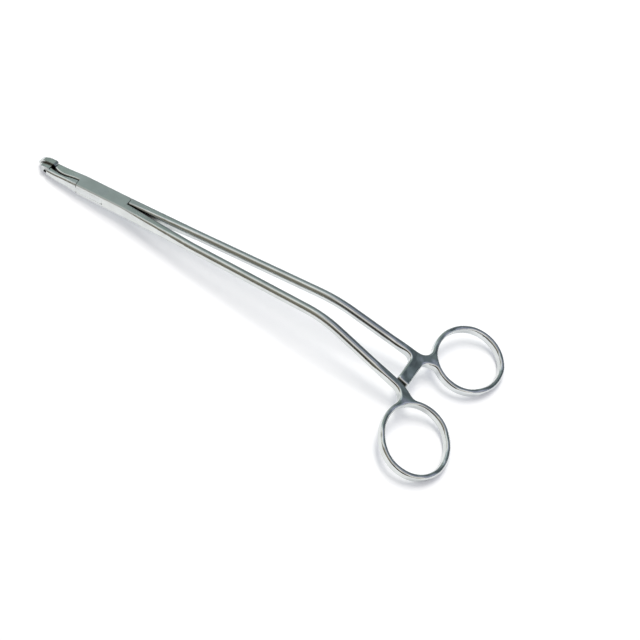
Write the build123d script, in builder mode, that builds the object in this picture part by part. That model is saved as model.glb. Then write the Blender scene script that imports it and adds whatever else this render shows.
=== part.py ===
from build123d import *
from math import asin, atan2, cos, degrees, radians, sin, sqrt
import os

# Biopsy punch: two forged steel halves that cross in a box joint on one riveted pin.
# Lengths in millimetres, angles in degrees.
# The halves are drawn with the pivot at the origin: +Z along the pin, +X to the finger rings,
# -X to the jaws. The last step tips the closed instrument onto the table that it lies on.

# Lengths along the instrument
front_length = 34.4  # pivot to the nose of the window jaw
shank_length = 111.0  # pivot to the bend of the shanks
bend_angle = 20.0
bend_radius = 45.0

# Box joint
joint_width = 7.4
joint_height = 5.6
lock_radius = 12.2  # the cheeks end on this radius, and the other half's shoulders turn round it
tongue_height = 2.4
slot_clearance = 0.04  # over and under the tongue
shoulder_clearance = 0.3
parting_gap = 0.3  # between the two halves where they lie side by side
front_parting = -0.3  # the halves part off the middle in front of the pin
hub_clearance = 0.35
edge_round = 0.6
run_in = 1.0  # bars, arms and tongue start this far inside the steel that they grow from

# Pivot pin
pin_radius = 1.5
pin_head_radius = 2.2
pin_head_depth = 0.5
pin_seat_clearance = 0.02
pin_running_clearance = 0.04

# Shanks
rod_diameter = 4.2
rod_flat = 0.04  # left on the rod's four sides, where the flat sides of the bar run out
round_at = 46.0  # distance behind the pivot where a shank has become round
shank_offset_at_joint = 2.35
shank_offset_at_bend = 5.6

# Finger rings, measured on the plane of the handles from the bend
ring_reach = 58.4
ring_from_middle = 8.5  # the ring's long radius is added to this, so a longer ring stands farther out
ring_long_radius = 16.2
ring_short_radius = 14.4
ring_turn = 68.5
ring_arc_meets = 62.0  # the ring's tighter end arcs meet its flatter side arcs this far from its ends
ring_band = 2.3
ring_height = 4.0
ring_edge_round = 1.1
neck_width = 3.4
rod_stop = 30.4  # before the ring's middle, where the round rod ends and thins into the neck
neck_start = 23.4  # before the ring's middle
neck_turn_at = 16.4  # before the ring's middle
neck_offset = 8.9  # of the neck from the middle, where it turns to the ring
neck_fillet = 5.0
arch_fillet = 3.4
neck_lands_at = -19.0  # place on the ring where the neck runs in, counted from its near end

# Stop tang
tang_width = 5.6
tang_back = 14.5  # before the ring's middle
tang_fillet = 2.6
tang_end_round = 1.3
stop_clearance = 0.1

# Arms between the joint and the jaws
waist_place = 1.1  # ahead of the middle between the joint's cheeks and the window jaw
waist_high = 3.6
window_waist_low = -0.75
punch_waist_high = -1.2
punch_waist_low = -3.5
punch_arm_round = 1.2  # along the punch arm's outer side

# Window jaw
window_jaw_length = 8.8
window_jaw_height = 6.0
window_jaw_depth = 3.3
mouth_plane = 1.0
side_wall = 0.9
rear_wall = 1.6
mouth_depth = 1.65
mouth_straight = 0.8  # the mouth's sides run straight this far before the nose rounds them
window_length = 3.4
window_height = 2.4
nose_window_length = 0.9
nose_window_height = 1.5
window_bar = 1.1
jaw_back_round = 1.2
jaw_corner_round = 1.4
window_neck_height = 3.5
window_neck_low = 1.35
window_neck_high = 3.85

# Punch jaw
punch_entry = 0.9  # how far the closed punch stands in the mouth
punch_clearance = 0.15
punch_depth = 4.2
punch_flat_length = 3.3  # from the rear shoulder to the start of the nose
punch_tip_height = 1.1
punch_tip_depth = 1.1
punch_bevel = 0.8
punch_bevel_depth = 1.6
punch_hole_radius = 0.8
punch_hole_place = 1.5  # from the rear shoulder
punch_neck_height = 3.1
punch_neck_low = -2.9
punch_neck_high = 0.5
punch_neck_run_in = 0.5

half_width = joint_width / 2
half_gap = parting_gap / 2
shoulder_corner = sqrt(lock_radius**2 - half_width**2)
arm_start = run_in - shoulder_corner
waist_at = (lock_radius + front_length - window_jaw_length) / 2 + waist_place
arm_bows_at = -lock_radius - run_in
handle_plane = Plane(
    origin=(shank_length, 0, 0),
    x_dir=(cos(radians(bend_angle)), 0, -sin(radians(bend_angle))),
    z_dir=(sin(radians(bend_angle)), 0, cos(radians(bend_angle))),
)
ring_spread = ring_from_middle + ring_long_radius
ring_arc_shift = (ring_long_radius - ring_short_radius) / (
    sin(radians(ring_arc_meets)) + cos(radians(ring_arc_meets)) - 1
)
ring_end_shift = ring_arc_shift * cos(radians(ring_arc_meets))
ring_side_shift = ring_arc_shift * sin(radians(ring_arc_meets))
ring_end_radius = ring_long_radius - ring_end_shift
ring_side_radius = ring_short_radius + ring_side_shift
jaw_plane = Plane(origin=(0, mouth_plane, 0), x_dir=(-1, 0, 0), z_dir=(0, 1, 0))
punch_plane = jaw_plane.offset(punch_entry)


def on_ring(angle, proud=0.0):
    """A point of the +Y ring on the handle plane, counted from the ring's end nearest the neck."""
    along = -ring_end_shift - (ring_end_radius + proud) * cos(radians(angle))
    across = -(ring_end_radius + proud) * sin(radians(angle))
    turn = radians(ring_turn)
    return (
        ring_reach + along * cos(turn) - across * sin(turn),
        ring_spread + along * sin(turn) + across * cos(turn),
    )


def oval(proud):
    """The ring's middle line, or one that stands proud of it, as a face inside four tangent arcs."""
    with BuildSketch(Plane.XY) as face:
        with BuildLine():
            for side, start in ((1, 0), (-1, 180)):
                CenterArc(
                    (side * ring_end_shift, 0),
                    ring_end_radius + proud,
                    start - ring_arc_meets,
                    2 * ring_arc_meets,
                )
                CenterArc(
                    (0, -side * ring_side_shift),
                    ring_side_radius + proud,
                    start + ring_arc_meets,
                    180 - 2 * ring_arc_meets,
                )
        make_face()
    return face.sketch.rotate(Axis.Z, ring_turn)


def section(place, low, high, height, corner):
    """A rounded rectangle square to the instrument, from low to high across it."""
    with BuildSketch(Plane(origin=(place, (low + high) / 2, 0), x_dir=(0, 1, 0), z_dir=(1, 0, 0))) as face:
        RectangleRounded(high - low, height, corner)
    return face.sketch


def rod_end(place, toward, width, height, corner):
    """A rounded rectangle square to a shank's run, where the run passes through a point."""
    run = Vector(*toward) - Vector(*place)
    with BuildSketch(Plane(origin=place, x_dir=(0, 0, 1), z_dir=run.normalized())) as face:
        RectangleRounded(height, width, corner)
    return face.sketch


def make_rear(with_tang):
    """The rear of a half on the +Y side: shank, bend, neck and finger ring, and one half's stop tang."""
    rod_end_at, neck_at, turn_at, tang_to = (
        ring_reach - before for before in (rod_stop, neck_start, neck_turn_at, tang_back)
    )
    tang_from = tang_to - tang_width
    neck_slope = (neck_offset - shank_offset_at_bend) / turn_at
    half_landing = degrees(neck_width / 2 / ring_end_radius)
    neck_inside = shank_offset_at_bend + neck_slope * tang_from - neck_width / 2
    tang_end = stop_clearance - neck_inside
    shank_slope = (shank_offset_at_bend - shank_offset_at_joint) / shank_length
    joint_end = (round_at, shank_offset_at_joint + shank_slope * round_at, 0)
    bend = (shank_length, shank_offset_at_bend, 0)
    rod_tip, neck = (
        handle_plane.from_local_coords((place, shank_offset_at_bend + neck_slope * place, 0))
        for place in (rod_end_at, neck_at)
    )
    rod_round = (rod_diameter - rod_flat) / 2
    with BuildPart() as rear:
        # From the flat-sided bar at the joint to the round rod
        loft(
            sections=[
                section(shoulder_corner - run_in, half_gap, half_width, joint_height, edge_round),
                rod_end(joint_end, bend, rod_diameter, rod_diameter, rod_round),
            ]
        )
        # The rod over the bend
        with BuildLine() as run:
            FilletPolyline(joint_end, bend, rod_tip, radius=bend_radius)
        sweep(sections=rod_end(joint_end, bend, rod_diameter, rod_diameter, rod_round), path=run.line)
        # The rod's end thins into the neck
        loft(
            sections=[
                rear.faces().sort_by_distance(rod_tip)[0],
                rod_end(neck, neck + (neck - rod_tip), neck_width, ring_height, ring_edge_round),
            ]
        )
        # Neck, ring and tang are one flat forging, rounded over
        with BuildSketch(handle_plane) as outline:
            with BuildLine():
                straight = Line(
                    (neck_at, shank_offset_at_bend + neck_slope * neck_at),
                    (tang_from, shank_offset_at_bend + neck_slope * tang_from),
                )
                TangentArc(straight @ 1, on_ring(neck_lands_at), tangent=straight % 1)
            trace(line_width=neck_width)
            with Locations((ring_reach, ring_spread)):
                add(oval(ring_band / 2))
            if with_tang:
                with Locations(((tang_from + tang_to) / 2, (neck_offset + tang_end) / 2)):
                    Rectangle(tang_width, neck_offset - tang_end)
                fillet(outline.vertices().sort_by(Axis.Y)[:2], tang_end_round)
                for corner, corner_round in ((tang_to, arch_fillet), (tang_from, tang_fillet)):
                    fillet(outline.vertices().sort_by_distance((corner, neck_inside))[0], corner_round)
            for side, corner_round in ((half_landing, arch_fillet), (-half_landing, neck_fillet)):
                landing = on_ring(neck_lands_at + side, ring_band / 2)
                fillet(outline.vertices().sort_by_distance(landing)[0], corner_round)
            with Locations((ring_reach, ring_spread)):
                add(oval(-ring_band / 2), mode=Mode.SUBTRACT)
    with BuildPart() as bow:
        with BuildSketch(handle_plane.offset(-ring_height / 2)):
            add(outline.sketch_local)
        extrude(amount=ring_height)
        through = Axis(handle_plane.origin, handle_plane.z_dir)
        flat_faces = bow.faces().filter_by(through).sort_by(through)
        rims = [face.edges().sort_by_distance(neck)[1:] for face in (flat_faces[0], flat_faces[-1])]
        fillet(rims[0] + rims[1], ring_edge_round)
    with BuildPart() as whole:
        add(rear.part)
        add(bow.part)
    return whole.part


def jaw_outline(rear, nose, half_height):
    """The D that the window jaw, its mouth and the punch share: square behind, half an ellipse in front."""
    with BuildSketch(Plane.XY) as outline:
        with BuildLine():
            top = Line((rear, half_height), (round_from, half_height))
            EllipticalCenterArc(
                (round_from, 0), nose - round_from, half_height, start_angle=90, arc_size=-180
            )
            Polyline((round_from, -half_height), (rear, -half_height), top @ 0)
        make_face()
    return outline.sketch


def make_arm(at_joint, at_waist, at_jaw, jaw_place, jaw_height, low_round, high_round):
    """An arm from the joint to a jaw, where each place gives the arm's low and high side across it."""
    with BuildPart() as arm:
        # Seen from above, a side leaves the joint straight, is level at the waist and bows out to the jaw
        with BuildSketch(Plane.XY.offset(-joint_height / 2)):
            with BuildLine():
                sides = []
                for side_at_joint, side_at_waist, side_at_jaw in zip(at_joint, at_waist, at_jaw):
                    straight = Line((arm_start, side_at_joint), (arm_bows_at, side_at_joint))
                    flare = (jaw_place + waist_at, 2 * (side_at_jaw - side_at_waist))
                    bow = Spline(
                        straight @ 1,
                        (-waist_at, side_at_waist),
                        (jaw_place, side_at_jaw),
                        tangents=((-1, 0), (-1, 0), flare),
                    )
                    sides.append((straight @ 0, bow @ 1))
                Line(sides[0][0], sides[1][0])
                Line(sides[0][1], sides[1][1])
            make_face()
        extrude(amount=joint_height)
        # Seen from the side, it tapers evenly
        with BuildSketch(Plane.XZ.offset(-joint_width)):
            with BuildLine():
                Polyline(
                    (arm_start, -joint_height / 2),
                    (arm_start, joint_height / 2),
                    (jaw_place, jaw_height / 2),
                    (jaw_place, -jaw_height / 2),
                    close=True,
                )
            make_face()
        extrude(amount=2 * joint_width, mode=Mode.INTERSECT)
        fillet(arm.edges().filter_by(GeomType.BSPLINE).sort_by(Axis.Y)[:2], low_round)
        fillet(arm.edges().filter_by(GeomType.BSPLINE).sort_by(Axis.Y)[-2:], high_round)
    return arm.part


def pin_shape(clearance):
    """Revolved shape of the pin, or with a clearance, of its seat in the cheeks."""
    half = joint_height / 2
    with BuildPart() as shape:
        with BuildSketch(Plane.XZ):
            with BuildLine():
                Polyline(
                    (0, -half),
                    (pin_head_radius + clearance, -half),
                    (pin_radius + clearance, -half + pin_head_depth),
                    (pin_radius + clearance, half - pin_head_depth),
                    (pin_head_radius + clearance, half),
                    (0, half),
                    close=True,
                )
            make_face()
        revolve(axis=Axis.Z)
    return shape.part


window_rear = front_length - window_jaw_length
mouth_rear = window_rear + rear_wall
round_from = mouth_rear + mouth_straight
mouth_nose = front_length - side_wall
mouth_half_height = window_jaw_height / 2 - side_wall
punch_rear = mouth_rear + punch_clearance
punch_nose = mouth_nose - punch_clearance
punch_half_height = mouth_half_height - punch_clearance
punch_face = mouth_plane + punch_entry

# The window jaw: a D-shaped cup, open to the punch, with two windows through its floor
with BuildPart() as window_jaw:
    with BuildSketch(jaw_plane):
        add(jaw_outline(window_rear, front_length, window_jaw_height / 2))
    extrude(amount=window_jaw_depth)
    fillet(window_jaw.edges().filter_by(Axis.Y).sort_by(Axis.X)[-2:], jaw_corner_round)
    fillet(window_jaw.faces().sort_by(Axis.Y)[-1].edges(), jaw_back_round)
    with BuildSketch(jaw_plane):
        add(jaw_outline(mouth_rear, mouth_nose, mouth_half_height))
    extrude(amount=mouth_depth, mode=Mode.SUBTRACT)
    with BuildSketch(jaw_plane):
        with Locations((mouth_rear, 0)):
            Rectangle(window_length, window_height, align=(Align.MIN, Align.CENTER))
        with Locations((mouth_rear + window_length + window_bar, 0)):
            Rectangle(nose_window_length, nose_window_height, align=(Align.MIN, Align.CENTER))
    extrude(amount=window_jaw_depth, mode=Mode.SUBTRACT)

# Half with the window jaw: its cheeks are the outside of the box joint
window_shank = make_rear(with_tang=False)
window_arm = make_arm(
    at_joint=(front_parting + half_gap, half_width),
    at_waist=(window_waist_low, waist_high),
    at_jaw=(window_neck_low, window_neck_high),
    jaw_place=rear_wall / 2 - mouth_rear,
    jaw_height=window_neck_height,
    low_round=edge_round,
    high_round=edge_round,
)
with BuildPart() as window_half:
    with BuildSketch(Plane.XY.offset(-joint_height / 2)):
        Circle(lock_radius)
        Rectangle(2 * lock_radius, joint_width, mode=Mode.INTERSECT)
    extrude(amount=joint_height)
    fillet(window_half.edges().filter_by(Axis.X), edge_round)
    # Slot that the other half passes through
    with BuildSketch(Plane.XY.offset(-tongue_height / 2 - slot_clearance)):
        with Locations((-lock_radius, front_parting + half_gap)):
            Rectangle(lock_radius, joint_width, align=(Align.MIN, Align.MAX))
        with Locations((0, -half_gap)):
            Rectangle(lock_radius, joint_width, align=(Align.MIN, Align.MIN))
        Circle(half_width + hub_clearance)
    extrude(amount=tongue_height + 2 * slot_clearance, mode=Mode.SUBTRACT)
    add(window_arm)
    add(window_shank.mirror(Plane.XZ))
    add(pin_shape(pin_seat_clearance), mode=Mode.SUBTRACT)
    add(window_jaw.part)

# The punch: a block that fits the mouth, bevelled to a blunt nose and on its outer side
with BuildPart() as punch:
    with BuildSketch(punch_plane):
        add(jaw_outline(punch_rear, punch_nose, punch_half_height))
        with BuildLine():
            Polyline(
                (punch_rear, -punch_half_height),
                (punch_rear + punch_flat_length, -punch_half_height),
                (punch_nose, -punch_tip_height / 2),
                (punch_nose, punch_tip_height / 2),
                (punch_rear + punch_flat_length, punch_half_height),
                (punch_rear, punch_half_height),
                close=True,
            )
        make_face(mode=Mode.INTERSECT)
    extrude(amount=-punch_depth)
    with BuildSketch(Plane.XY.offset(-window_jaw_height)):
        with BuildLine():
            Polyline(
                (-punch_rear, punch_face),
                (-punch_nose, punch_face),
                (-punch_nose, punch_face - punch_tip_depth),
                (-punch_rear - punch_flat_length, punch_face - punch_depth),
                (-punch_rear, punch_face - punch_depth),
                close=True,
            )
        make_face()
    extrude(amount=2 * window_jaw_height, mode=Mode.INTERSECT)
    outer_edges = punch.faces().filter_by(Axis.Y).sort_by(Axis.Y)[0].edges().filter_by(Axis.X)
    chamfer(outer_edges, punch_bevel, punch_bevel_depth)
    with Locations(Plane(origin=(-punch_rear - punch_hole_place, punch_face, 0), z_dir=(0, 1, 0))):
        Hole(punch_hole_radius)

# Half with the punch: its tongue crosses inside the joint
punch_shank = make_rear(with_tang=True)
punch_arm = make_arm(
    at_joint=(-half_width, front_parting - half_gap),
    at_waist=(punch_waist_low, punch_waist_high),
    at_jaw=(punch_neck_low, punch_neck_high),
    jaw_place=-punch_rear - punch_neck_run_in,
    jaw_height=punch_neck_height,
    low_round=punch_arm_round,
    high_round=edge_round,
)
with BuildPart() as punch_half:
    add(punch_shank)
    add(punch_arm)
    # The shoulders turn round the ends of the cheeks
    with BuildSketch(Plane.XY.offset(-joint_height)):
        Circle(lock_radius + shoulder_clearance)
    extrude(amount=2 * joint_height, mode=Mode.SUBTRACT)
    # Tongue
    with BuildSketch(Plane.XY.offset(-tongue_height / 2)):
        with Locations((-lock_radius - run_in, front_parting - half_gap)):
            Rectangle(lock_radius + run_in, joint_width, align=(Align.MIN, Align.MAX))
        with Locations((0, half_gap)):
            Rectangle(lock_radius + run_in, joint_width, align=(Align.MIN, Align.MIN))
        Circle(half_width)
        Rectangle(3 * lock_radius, joint_width, mode=Mode.INTERSECT)
    extrude(amount=tongue_height)
    with Locations((0, 0, tongue_height / 2)):
        Hole(pin_radius + pin_running_clearance)
    add(punch.part)

# Pivot pin, riveted over in the cheeks and ground flush
with BuildPart() as pin:
    add(pin_shape(0))

# The closed instrument lies on the underside of its nose and on the rounded far ends of the rings
nose_below = Vector(-front_length + window_jaw_length / 2, 0, -window_jaw_height / 2)
ring_end = ring_reach + oval(ring_band / 2).bounding_box().max.X
ring_rests_at = (ring_end - ring_edge_round, 0, ring_edge_round - ring_height / 2)
to_ring = handle_plane.from_local_coords(ring_rests_at) - nose_below
tilt = degrees(atan2(-to_ring.Z, to_ring.X) + asin(ring_edge_round / to_ring.length))
tilted = Rot(0, -tilt, 0)
envelope = Compound([window_half.part.moved(tilted), punch_half.part.moved(tilted)]).bounding_box()
lie = Pos(-envelope.center().X, -envelope.center().Y, -envelope.min.Z) * tilted

os.makedirs("parts", exist_ok=True)

with BuildPart() as window_jaw_half:
    add(window_half.part.moved(lie))
window_jaw_half.part.label = "window_jaw_half"
export_step(window_jaw_half.part, "parts/window_jaw_half.step")

with BuildPart() as punch_jaw_half:
    add(punch_half.part.moved(lie))
punch_jaw_half.part.label = "punch_jaw_half"
export_step(punch_jaw_half.part, "parts/punch_jaw_half.step")

with BuildPart() as pivot_pin:
    add(pin.part.moved(lie))
pivot_pin.part.label = "pivot_pin"
export_step(pivot_pin.part, "parts/pivot_pin.step")
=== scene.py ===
import math

import bmesh
import bpy
from mathutils import Matrix, Vector


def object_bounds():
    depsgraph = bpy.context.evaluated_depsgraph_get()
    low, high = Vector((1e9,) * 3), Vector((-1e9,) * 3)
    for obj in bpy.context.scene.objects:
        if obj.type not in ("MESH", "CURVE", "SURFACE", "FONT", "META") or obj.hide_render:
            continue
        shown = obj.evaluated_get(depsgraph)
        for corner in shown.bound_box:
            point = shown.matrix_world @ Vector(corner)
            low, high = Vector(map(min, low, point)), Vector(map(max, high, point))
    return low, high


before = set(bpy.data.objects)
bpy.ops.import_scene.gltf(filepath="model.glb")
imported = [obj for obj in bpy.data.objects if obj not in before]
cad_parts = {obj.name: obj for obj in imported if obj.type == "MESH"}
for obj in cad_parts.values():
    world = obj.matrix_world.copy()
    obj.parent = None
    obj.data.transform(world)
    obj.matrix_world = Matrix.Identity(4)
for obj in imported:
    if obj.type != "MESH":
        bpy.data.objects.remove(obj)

cad_low, cad_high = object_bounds()

# Half with the window jaw: one stainless steel forging, ground and polished by hand along its length.
# It carries the D-shaped cup, the two cheeks of the box joint, one shank and one finger ring.
# A little past the tip of the jaws and past the rings, in metres along the instrument
polish_from, polish_to = -0.11, 0.11
# Roughness at places along it: bright jaws, satin arms and joint, smoother shanks, buffed rings
roughness_along = (
    (-0.095, 0.15), (-0.088, 0.34), (-0.062, 0.32), (-0.045, 0.2), (0.05, 0.17), (0.068, 0.09),
)
# Strength of the wheel's waves at places along it: jaws, arms, end of the rods, rings
waves_along = ((-0.093, 0.3), (-0.088, 0.035), (0.056, 0.035), (0.07, 1.0))


def along_length(nodes, links, place, stops):
    """A value that changes from stop to stop along the instrument. Each stop is a place and its value."""
    along = nodes.new("ShaderNodeSeparateXYZ")
    links.new(place, along.inputs["Vector"])
    share = nodes.new("ShaderNodeMapRange")
    share.inputs["From Min"].default_value = polish_from
    share.inputs["From Max"].default_value = polish_to
    links.new(along.outputs["X"], share.inputs["Value"])
    ramp = nodes.new("ShaderNodeValToRGB")
    elements = ramp.color_ramp.elements
    elements.remove(elements[1])
    for number, (x, value) in enumerate(stops):
        position = (x - polish_from) / (polish_to - polish_from)
        stop = elements.new(position) if number else elements[0]
        stop.position = position
        stop.color = (value, value, value, 1)
    links.new(share.outputs["Result"], ramp.inputs["Fac"])
    return ramp.outputs["Color"]


def polished_steel(name, tint):
    """Hand-polished stainless steel: fine lines along it, waves from the wheel, and painted shade in the
    crevices.
    """
    material = bpy.data.materials.new(name)
    material.use_nodes = True
    nodes, links = material.node_tree.nodes, material.node_tree.links
    shader = nodes["Principled BSDF"]
    shader.inputs["Metallic"].default_value = 1.0
    place = nodes.new("ShaderNodeTexCoord")

    # Clouding of the polish, and painted shade that darkens the crevices
    cloud_shade = 0.86
    crevice_shade = (0.05, 0.04, 0.03)
    cloud = nodes.new("ShaderNodeTexNoise")
    cloud.inputs["Scale"].default_value = 160.0
    cloud.inputs["Detail"].default_value = 4.0
    links.new(place.outputs["Object"], cloud.inputs["Vector"])
    colour = nodes.new("ShaderNodeValToRGB")
    colour.color_ramp.elements[0].position = 0.3
    colour.color_ramp.elements[0].color = (*[part * cloud_shade for part in tint], 1)
    colour.color_ramp.elements[1].position = 0.7
    colour.color_ramp.elements[1].color = (*tint, 1)
    links.new(cloud.outputs["Fac"], colour.inputs["Fac"])
    # Painted shade: ambient occlusion darkens the colour towards near-black in crevices, seams and gaps
    crevice = nodes.new("ShaderNodeAmbientOcclusion")
    crevice.inputs["Distance"].default_value = 0.002
    open_side = nodes.new("ShaderNodeMapRange")
    open_side.inputs["From Min"].default_value = 0.4
    open_side.inputs["From Max"].default_value = 0.8
    links.new(crevice.outputs["AO"], open_side.inputs["Value"])
    shaded_crevices = nodes.new("ShaderNodeMix")
    shaded_crevices.data_type = "RGBA"
    shaded_crevices.inputs["A"].default_value = (*crevice_shade, 1)
    links.new(open_side.outputs["Result"], shaded_crevices.inputs["Factor"])
    links.new(colour.outputs["Color"], shaded_crevices.inputs["B"])
    links.new(shaded_crevices.outputs["Result"], shader.inputs["Base Color"])

    # Lines of the last polish, on a finish that changes along the instrument: about 0.4 mm apart across it,
    # and some 40 times as long
    lines_per_metre = (60, 2600, 2600)
    stretch = nodes.new("ShaderNodeMapping")
    stretch.inputs["Scale"].default_value = lines_per_metre
    links.new(place.outputs["Object"], stretch.inputs["Vector"])
    lines = nodes.new("ShaderNodeTexNoise")
    lines.inputs["Scale"].default_value = 1.0
    lines.inputs["Detail"].default_value = 3.0
    links.new(stretch.outputs["Vector"], lines.inputs["Vector"])
    rough = nodes.new("ShaderNodeMapRange")
    rough.inputs["To Min"].default_value = 0.7
    rough.inputs["To Max"].default_value = 1.3
    links.new(lines.outputs["Fac"], rough.inputs["Value"])
    dulled = nodes.new("ShaderNodeMath")
    dulled.operation = "MULTIPLY"
    links.new(rough.outputs["Result"], dulled.inputs[0])
    links.new(along_length(nodes, links, place.outputs["Object"], roughness_along), dulled.inputs[1])
    links.new(dulled.outputs["Value"], shader.inputs["Roughness"])

    # Waves that the polishing wheel leaves, deepest on the rings
    wave = nodes.new("ShaderNodeTexNoise")
    wave.inputs["Scale"].default_value = 90.0
    wave.inputs["Detail"].default_value = 1.0
    links.new(place.outputs["Object"], wave.inputs["Vector"])
    slow = nodes.new("ShaderNodeBump")
    slow.inputs["Distance"].default_value = 0.0026
    links.new(along_length(nodes, links, place.outputs["Object"], waves_along), slow.inputs["Strength"])
    links.new(wave.outputs["Fac"], slow.inputs["Height"])
    fine = nodes.new("ShaderNodeBump")
    fine.inputs["Strength"].default_value = 0.25
    fine.inputs["Distance"].default_value = 0.000006
    links.new(lines.outputs["Fac"], fine.inputs["Height"])
    links.new(slow.outputs["Normal"], fine.inputs["Normal"])
    links.new(fine.outputs["Normal"], shader.inputs["Normal"])
    return material


def finish_node(node, material):
    """Puts a material on a CAD node."""
    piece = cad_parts[node]
    piece.data.materials.clear()
    piece.data.materials.append(material)


finish_node("window_jaw_half", polished_steel("window_half_polish", (0.72, 0.745, 0.73)))

# Half with the punch: forged and polished like the other, with its tongue hidden in the joint.
# It carries the punch jaw, the stop tang, one shank and one finger ring.
finish_node("punch_jaw_half", polished_steel("punch_half_polish", (0.72, 0.745, 0.74)))

# Pivot pin: a short stainless steel rivet through both halves of the box joint.
# It is headed over in the countersunk cheeks, then ground flush and polished with them.
finish_node("pivot_pin", polished_steel("pin_polish", (0.70, 0.72, 0.72)))

# The table: a white paper sheet just under the instrument, wide enough to fill the view and the reflections.
# A glow that only the camera and the steel see keeps it white, and it still takes the instrument's shadow.
table_half = 1.2
table_gap = 0.0001
table_mesh = bpy.data.meshes.new("table")
table_grid = bmesh.new()
bmesh.ops.create_grid(table_grid, x_segments=1, y_segments=1, size=table_half)
table_grid.to_mesh(table_mesh)
table_grid.free()
table = bpy.data.objects.new("table", table_mesh)
bpy.context.scene.collection.objects.link(table)
table.location = (0, 0, cad_low[2] - table_gap)
table_white = bpy.data.materials.new("table_white")
table_white.use_nodes = True
nodes, links = table_white.node_tree.nodes, table_white.node_tree.links
paper = nodes["Principled BSDF"]
paper.inputs["Base Color"].default_value = (0.8, 0.8, 0.8, 1)
paper.inputs["Roughness"].default_value = 0.9
paper.inputs["Specular IOR Level"].default_value = 0.0
glow = nodes.new("ShaderNodeEmission")
glow.inputs["Color"].default_value = (0.95, 0.98, 1.08, 1)
rays = nodes.new("ShaderNodeLightPath")
seen = nodes.new("ShaderNodeMath")
seen.operation = "MAXIMUM"
links.new(rays.outputs["Is Camera Ray"], seen.inputs[0])
links.new(rays.outputs["Is Glossy Ray"], seen.inputs[1])
# Away from the instrument the sheet fades into the white room
spot = nodes.new("ShaderNodeTexCoord")
outward = nodes.new("ShaderNodeVectorMath")
outward.operation = "LENGTH"
links.new(spot.outputs["Object"], outward.inputs[0])
fade = nodes.new("ShaderNodeMapRange")
fade.inputs["From Min"].default_value = 0.3
fade.inputs["From Max"].default_value = 0.8
fade.inputs["To Min"].default_value = 0.3
fade.inputs["To Max"].default_value = 1.0
links.new(outward.outputs["Value"], fade.inputs["Value"])
strength = nodes.new("ShaderNodeMath")
strength.operation = "MULTIPLY"
links.new(fade.outputs["Result"], strength.inputs[1])
links.new(seen.outputs["Value"], strength.inputs[0])
links.new(strength.outputs["Value"], glow.inputs["Strength"])
both = nodes.new("ShaderNodeAddShader")
links.new(paper.outputs["BSDF"], both.inputs[0])
links.new(glow.outputs["Emission"], both.inputs[1])
links.new(both.outputs["Shader"], nodes["Material Output"].inputs["Surface"])
table_mesh.materials.append(table_white)

# The room: a lamp almost straight above, a little behind and to the left, throws the shadows. The steel
# mirrors a pale ceiling between slate walls behind the instrument and brown-grey ones in front of it. In
# the room's right half the walls are darker, and only the front of the ceiling is pale. The camera itself
# sees plain white.
lamp_place = Vector((-0.1, 0.2, 1.0))
lamp = bpy.data.lights.new("ceiling_lamp", "AREA")
lamp.shape = "RECTANGLE"
lamp.size = 0.35
lamp.size_y = 0.65
lamp.energy = 6.2
lamp.color = (1.0, 0.97, 0.92)
lamp_holder = bpy.data.objects.new("ceiling_lamp", lamp)
bpy.context.scene.collection.objects.link(lamp_holder)
lamp_holder.location = lamp_place
lamp_holder.rotation_euler = (-lamp_place).to_track_quat("-Z", "Y").to_euler()
lamp_holder.visible_glossy = False

# Room colours from the front wall over the ceiling to the back wall. The jaws, the joint and the shanks
# up to their bend mirror the room's left half, and the handles and the rings its right half.
left_room = (
    (0.00, (0.21, 0.195, 0.155)),
    (0.24, (0.24, 0.225, 0.18)),
    (0.33, (0.50, 0.49, 0.45)),
    (0.42, (0.94, 0.94, 0.91)),
    (0.55, (0.92, 0.94, 0.93)),
    (0.66, (0.52, 0.60, 0.62)),
    (0.79, (0.33, 0.40, 0.375)),
    (1.00, (0.15, 0.18, 0.20)),
)
right_room = (
    (0.00, (0.05, 0.042, 0.035)),
    (0.14, (0.07, 0.06, 0.05)),
    (0.22, (0.80, 0.77, 0.73)),
    (0.38, (1.00, 0.97, 0.95)),
    (0.47, (0.36, 0.36, 0.40)),
    (0.63, (0.40, 0.43, 0.55)),
    (0.80, (0.125, 0.155, 0.17)),
    (1.00, (0.10, 0.115, 0.13)),
)
world = bpy.data.worlds.new("room")
bpy.context.scene.world = world
world.use_nodes = True
nodes, links = world.node_tree.nodes, world.node_tree.links
backdrop = nodes["Background"]
toward = nodes.new("ShaderNodeTexCoord")
split = nodes.new("ShaderNodeSeparateXYZ")
links.new(toward.outputs["Generated"], split.inputs["Vector"])
back = nodes.new("ShaderNodeMapRange")
back.inputs["From Min"].default_value = -1.0
back.inputs["From Max"].default_value = 1.0
links.new(split.outputs["Y"], back.inputs["Value"])
aside = nodes.new("ShaderNodeMapRange")
aside.inputs["From Min"].default_value = -0.3
aside.inputs["From Max"].default_value = 0.15
links.new(split.outputs["X"], aside.inputs["Value"])
halves = nodes.new("ShaderNodeMix")
halves.data_type = "RGBA"
links.new(aside.outputs["Result"], halves.inputs["Factor"])
for half, socket in ((left_room, "A"), (right_room, "B")):
    walls = nodes.new("ShaderNodeValToRGB")
    walls.color_ramp.interpolation = "EASE"
    walls.color_ramp.elements.remove(walls.color_ramp.elements[1])
    for place, colour in half:
        stop = walls.color_ramp.elements[0] if place == 0.0 else walls.color_ramp.elements.new(place)
        stop.color = (*colour, 1)
    links.new(back.outputs["Result"], walls.inputs["Fac"])
    links.new(walls.outputs["Color"], halves.inputs[socket])
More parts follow.
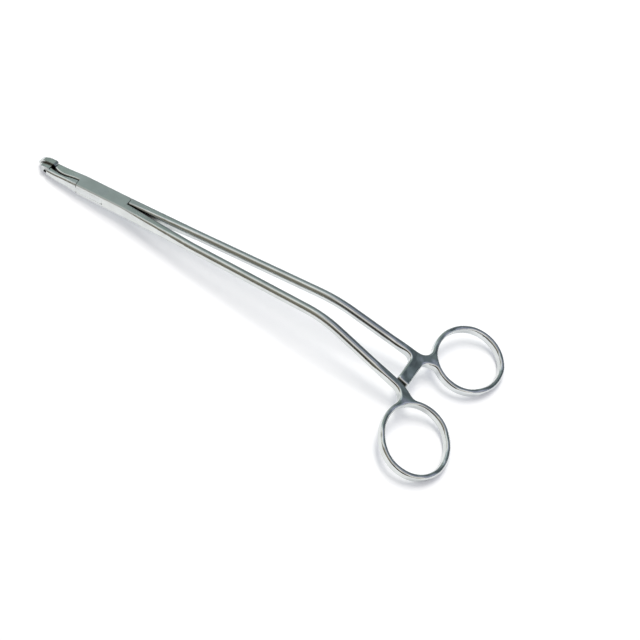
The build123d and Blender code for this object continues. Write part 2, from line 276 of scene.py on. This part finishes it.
# Furniture and windows that the walls are broken up by, seen only as uneven light
clutter = nodes.new("ShaderNodeTexNoise")
clutter.inputs["Scale"].default_value = 4.5
clutter.inputs["Detail"].default_value = 2.0
links.new(toward.outputs["Generated"], clutter.inputs["Vector"])
uneven = nodes.new("ShaderNodeMapRange")
uneven.inputs["From Min"].default_value = 0.35
uneven.inputs["From Max"].default_value = 0.65
uneven.inputs["To Min"].default_value = 0.75
uneven.inputs["To Max"].default_value = 1.25
links.new(clutter.outputs["Fac"], uneven.inputs["Value"])
broken = nodes.new("ShaderNodeMix")
broken.data_type = "RGBA"
broken.blend_type = "MULTIPLY"
broken.inputs["Factor"].default_value = 1.0
links.new(halves.outputs["Result"], broken.inputs["A"])
links.new(uneven.outputs["Result"], broken.inputs["B"])
seen_white = nodes.new("ShaderNodeMix")
seen_white.data_type = "RGBA"
seen_white.inputs["B"].default_value = (1, 1, 1, 1)
view = nodes.new("ShaderNodeLightPath")
links.new(view.outputs["Is Camera Ray"], seen_white.inputs["Factor"])
links.new(broken.outputs["Result"], seen_white.inputs["A"])
links.new(seen_white.outputs["Result"], backdrop.inputs["Color"])
backdrop.inputs["Strength"].default_value = 1.0

# The camera: in front of the instrument and a little to the side of its rings, looking down at about
# 51 degrees and rolled, so that the instrument lies aslant in the view.
camera_turn = -15.1
camera_height = 50.85
camera_roll = -19.0
camera_distance = 0.6086
camera_aim = Vector((0.03144, 0.00736, 0.0))
focal_pixels = 1451.8
frame_pixels = 640
turn, height = math.radians(camera_turn), math.radians(camera_height)
forward = Vector((math.sin(turn) * math.cos(height), math.cos(turn) * math.cos(height), -math.sin(height)))
right = Vector((math.cos(turn), -math.sin(turn), 0))
up = right.cross(forward)
lens = bpy.data.cameras.new("camera")
lens.sensor_width = 36.0
lens.lens = focal_pixels / frame_pixels * lens.sensor_width
lens.clip_start = 0.01
lens.clip_end = 10
camera = bpy.data.objects.new("camera", lens)
bpy.context.scene.collection.objects.link(camera)
roll = Matrix.Rotation(math.radians(-camera_roll), 3, "Z")
axes = Matrix((right, up, -forward)).transposed() @ roll
camera.matrix_world = Matrix.Translation(camera_aim - forward * camera_distance) @ axes.to_4x4()
bpy.context.scene.camera = camera
bpy.context.scene.view_settings.view_transform = "Standard"
